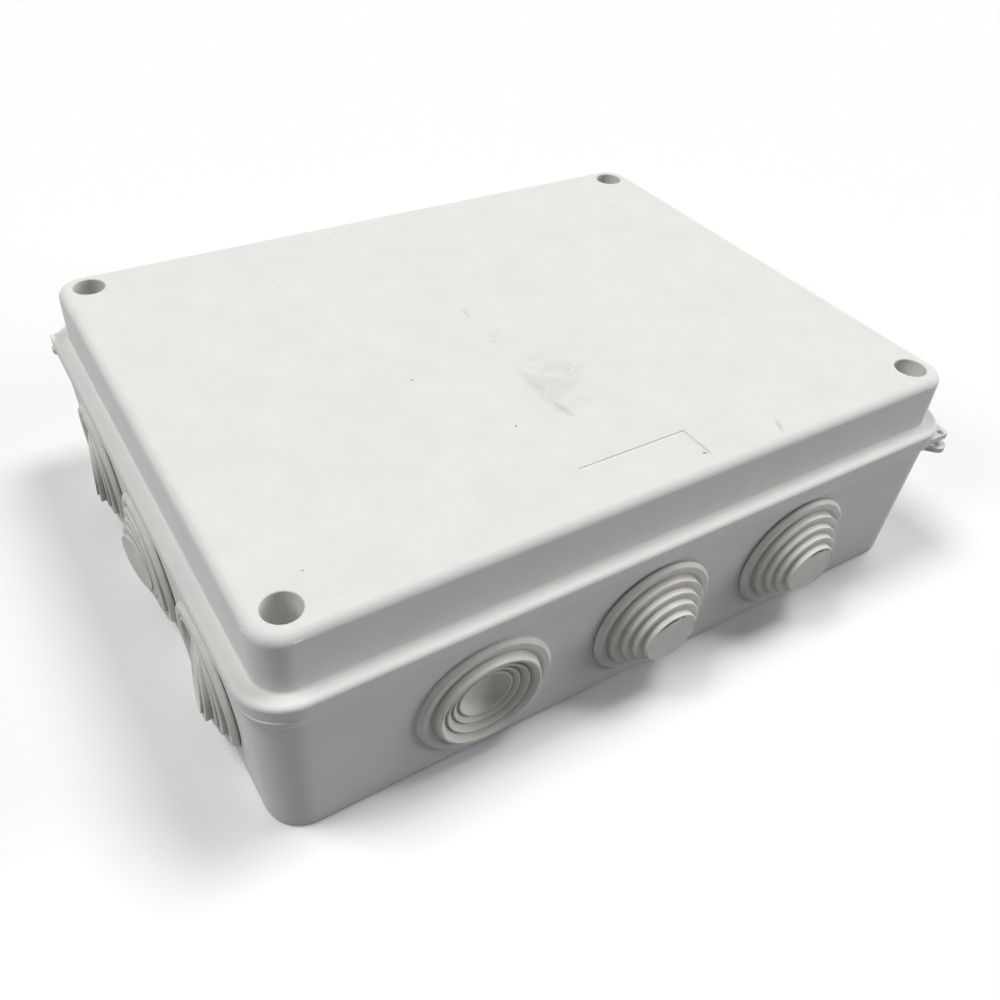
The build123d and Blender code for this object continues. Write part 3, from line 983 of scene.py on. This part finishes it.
def makeScrewTree():
    tree, given = startTree("crossScrew", {
        "Turns": "Int", "Corner Steps": "Int", "Length": "Float", "Recess Span": "Float",
        "Recess Width": "Float", "Recess Depth": "Float", "Recess Taper": "Float",
        "Thread Radius": "Float", "Thread Size": "Float", "Thread Start": "Float",
        "Thread Length": "Float", "Thread Turns": "Float", "Material": "Material",
    })
    body = addNode(
        tree, "GeometryNodeGroup", {"node_tree": lathe},
        {
            "Geometry": given["Geometry"], "Turns": given["Turns"],
            "Corner Steps": given["Corner Steps"],
        },
    )
    # cross recess: two crossed bars that narrow towards their bottom
    depth = addNode(
        tree, "ShaderNodeMath", {"operation": "MULTIPLY", 1: 2.0}, {0: given["Recess Depth"]}
    )
    size = addNode(
        tree, "ShaderNodeCombineXYZ", {},
        {"X": given["Recess Span"], "Y": given["Recess Width"], "Z": depth.outputs[0]},
    )
    bar = addNode(tree, "GeometryNodeMeshCube", {}, {"Size": size.outputs["Vector"]})
    crossed = addNode(
        tree, "GeometryNodeTransform",
        {"Rotation": (0, 0, pi / 2)},
        {"Geometry": bar.outputs["Mesh"]},
    )
    bars = addNode(tree, "GeometryNodeJoinGeometry")
    for source in (bar.outputs["Mesh"], crossed.outputs["Geometry"]):
        tree.links.new(source, bars.inputs["Geometry"])
    place = addNode(tree, "GeometryNodeInputPosition").outputs["Position"]
    height = addNode(tree, "ShaderNodeSeparateXYZ", {}, {"Vector": place}).outputs["Z"]
    share = addNode(
        tree, "ShaderNodeMath", {"operation": "DIVIDE"}, {0: height, 1: given["Recess Depth"]}
    )
    width = addNode(
        tree, "ShaderNodeMapRange",
        {"From Min": -1.0, "From Max": 0.0, "To Max": 1.0},
        {"Value": share.outputs[0], "To Min": given["Recess Taper"]},
    )
    stretch = addNode(
        tree, "ShaderNodeCombineXYZ", {"Z": 1.0},
        {"X": width.outputs["Result"], "Y": width.outputs["Result"]},
    )
    narrowed = addNode(
        tree, "ShaderNodeVectorMath",
        {"operation": "MULTIPLY"},
        {0: place, 1: stretch.outputs["Vector"]},
    )
    tapered = addNode(
        tree, "GeometryNodeSetPosition", {},
        {"Geometry": bars.outputs["Geometry"], "Position": narrowed.outputs["Vector"]},
    )
    headTop = addNode(tree, "ShaderNodeCombineXYZ", {}, {"Z": given["Length"]})
    cutter = addNode(
        tree, "GeometryNodeTransform", {},
        {"Geometry": tapered.outputs["Geometry"], "Translation": headTop.outputs["Vector"]},
    )
    cut = addNode(
        tree, "GeometryNodeMeshBoolean",
        {"operation": "DIFFERENCE", "solver": "EXACT", "Self Intersection": True},
        {"Mesh 1": body.outputs["Geometry"], "Mesh 2": cutter.outputs["Geometry"]},
    )
    # thread: a small square bar, edge outwards, wound up the shank
    helix = addNode(
        tree, "GeometryNodeCurveSpiral",
        {"Resolution": screw["threadSteps"], "Reverse": True},
        {
            "Rotations": given["Thread Turns"], "Start Radius": given["Thread Radius"],
            "End Radius": given["Thread Radius"], "Height": given["Thread Length"],
        },
    )
    upright = addNode(
        tree, "GeometryNodeSetCurveNormal", {"mode": "Z_UP"}, {"Curve": helix.outputs["Curve"]}
    )
    section = addNode(
        tree, "GeometryNodeCurvePrimitiveCircle",
        {"mode": "RADIUS", "Resolution": 4},
        {"Radius": given["Thread Size"]},
    )
    wound = addNode(
        tree, "GeometryNodeCurveToMesh",
        {"Fill Caps": True},
        {"Curve": upright.outputs["Curve"], "Profile Curve": section.outputs["Curve"]},
    )
    threadStart = addNode(tree, "ShaderNodeCombineXYZ", {}, {"Z": given["Thread Start"]})
    thread = addNode(
        tree, "GeometryNodeTransform", {},
        {"Geometry": wound.outputs["Mesh"], "Translation": threadStart.outputs["Vector"]},
    )
    whole = addNode(tree, "GeometryNodeJoinGeometry")
    for source in (cut.outputs["Mesh"], thread.outputs["Geometry"]):
        tree.links.new(source, whole.inputs["Geometry"])
    real = addNode(
        tree, "GeometryNodeRealizeInstances", {}, {"Geometry": whole.outputs["Geometry"]}
    )
    dressed = addNode(
        tree, "GeometryNodeSetMaterial", {},
        {"Geometry": real.outputs["Geometry"], "Material": given["Material"]},
    )
    addNode(tree, "NodeGroupOutput", {}, {"Geometry": dressed.outputs["Geometry"]})
    return tree


def makeScrews():
    tree = makeScrewTree()
    s = screw
    threadSize = (s["crestRadiusMm"] - s["coreRadiusMm"]) / 2 + s["threadSinkMm"]
    for corner in ("front_left", "front_right", "back_right", "back_left"):
        low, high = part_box("lid_screw_" + corner)
        length = (high.z - low.z) / mm
        threadLength = length - s["headHeightMm"] - s["pointMm"] - s["threadBareMm"]
        piece = bakeNodes(f"lid_screw_{corner}_cut", profileObject(screwProfile(length)), tree, {
            "Turns": s["turns"],
            "Corner Steps": s["cornerSteps"],
            "Length": length * mm,
            "Recess Span": s["recessSpanMm"] * mm,
            "Recess Width": s["recessWidthMm"] * mm,
            "Recess Depth": s["recessDepthMm"] * mm,
            "Recess Taper": s["recessTaper"],
            "Thread Radius": (s["crestRadiusMm"] - threadSize) * mm,
            "Thread Size": threadSize * mm,
            "Thread Start": (s["pointMm"] + s["threadFootMm"]) * mm,
            "Thread Length": threadLength * mm,
            "Thread Turns": threadLength / s["pitchMm"],
            "Material": steelScrew,
        })
        foot = Vector(((low.x + high.x) / 2, (low.y + high.y) / 2, low.z))
        piece.data.transform(Matrix.Translation(foot))
        evenNormals(piece)
        keepPiece(piece, "screw_" + corner, "screw_steel", "lid_screw_" + corner)


makeScrews()
print("screws made")


def dressNode(node, material):  # a CAD node that keeps its shape
    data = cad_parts[node].data
    data.materials.clear()
    data.materials.append(material)


dressNode("lid_gasket", foamGasket)
print("gasket dressed")


# Studio: a white floor with a white sky behind it, and four broad lamps
studio = {
    "floorColour": "#FAFAFA",
    "floorBounceColour": "#8A8C90",  # what the floor throws back: it lights the low walls
    "floorHalf": 4.0,
    "skyLevel": 0.03,  # how much of its white the sky sheds as light
    "skyColour": "#FFFFFF",
}

# Lamps, each with the side that it stands on (azimuth from +X towards +Y) and its height
lamps = {
    "rightHighLamp": {
        "strength": 1.35, "angleDeg": 20, "azimuthDeg": 0, "heightDeg": 65, "colour": "#FFFFFD",
    },
    "backHighLamp": {
        "strength": 1.47, "angleDeg": 20, "azimuthDeg": 150, "heightDeg": 65, "colour": "#FFFFFD",
    },
    "frontRightLowLamp": {
        "strength": 1.28, "angleDeg": 30, "azimuthDeg": -25, "heightDeg": 12, "colour": "#F9FBFF",
    },
    "leftLamp": {
        "strength": 0.62, "angleDeg": 20, "azimuthDeg": 180, "heightDeg": 36, "colour": "#F9FBFF",
    },
}


def backdropRays(tree):  # 1 where the camera, a reflection or glass looks at the backdrop
    rays = addNode(tree, "ShaderNodeLightPath").outputs
    seen = addNode(
        tree, "ShaderNodeMath", {"operation": "MAXIMUM"},
        {0: rays["Is Camera Ray"], 1: rays["Is Glossy Ray"]},
    )
    shown = addNode(
        tree, "ShaderNodeMath", {"operation": "MAXIMUM"},
        {0: seen.outputs[0], 1: rays["Is Transmission Ray"]},
    )
    return shown.outputs[0]


def makeFloor():
    half = studio["floorHalf"]
    mesh = bpy.data.meshes.new("floor")
    corners = [(-half, -half, 0), (half, -half, 0), (half, half, 0), (-half, half, 0)]
    mesh.from_pydata(corners, [], [(0, 1, 2, 3)])
    floor = bpy.data.objects.new("floor", mesh)
    bpy.context.scene.collection.objects.link(floor)
    paper = bpy.data.materials.new("mattPaper")  # white seamless paper, dead matt
    paper.use_nodes = True
    tree = paper.node_tree
    colour = addNode(
        tree, "ShaderNodeMix",
        {
            "data_type": "RGBA", 6: hexColour(studio["floorBounceColour"]),
            7: hexColour(studio["floorColour"]),
        },
        {0: backdropRays(tree)},
    )
    skin = tree.nodes["Principled BSDF"]
    skin.inputs["Roughness"].default_value = 1.0
    skin.inputs["Specular IOR Level"].default_value = 0.0
    tree.links.new(colour.outputs[2], skin.inputs["Base Color"])
    mesh.materials.append(paper)


def makeSky():
    world = bpy.data.worlds.new("studioSky")
    world.use_nodes = True
    bpy.context.scene.world = world
    tree = world.node_tree
    level = addNode(
        tree, "ShaderNodeMapRange",
        {"To Min": studio["skyLevel"], "To Max": 1.0},
        {"Value": backdropRays(tree)},
    )
    tree.links.new(level.outputs["Result"], tree.nodes["Background"].inputs["Strength"])
    tree.nodes["Background"].inputs["Color"].default_value = hexColour(studio["skyColour"])


def makeLamps():
    for name, lamp in lamps.items():
        data = bpy.data.lights.new(name, "SUN")
        data.energy = lamp["strength"]
        data.angle = radians(lamp["angleDeg"])
        data.color = hexColour(lamp["colour"])[:3]
        light = bpy.data.objects.new(name, data)
        azimuth = radians(lamp["azimuthDeg"])
        height = radians(lamp["heightDeg"])
        towards = Vector((cos(azimuth) * cos(height), sin(azimuth) * cos(height), sin(height)))
        light.rotation_mode = "QUATERNION"
        light.rotation_quaternion = towards.to_track_quat("Z", "Y")
        bpy.context.scene.collection.objects.link(light)


bpy.context.scene.view_settings.view_transform = "Standard"
makeFloor()
makeSky()
makeLamps()
print("studio made")
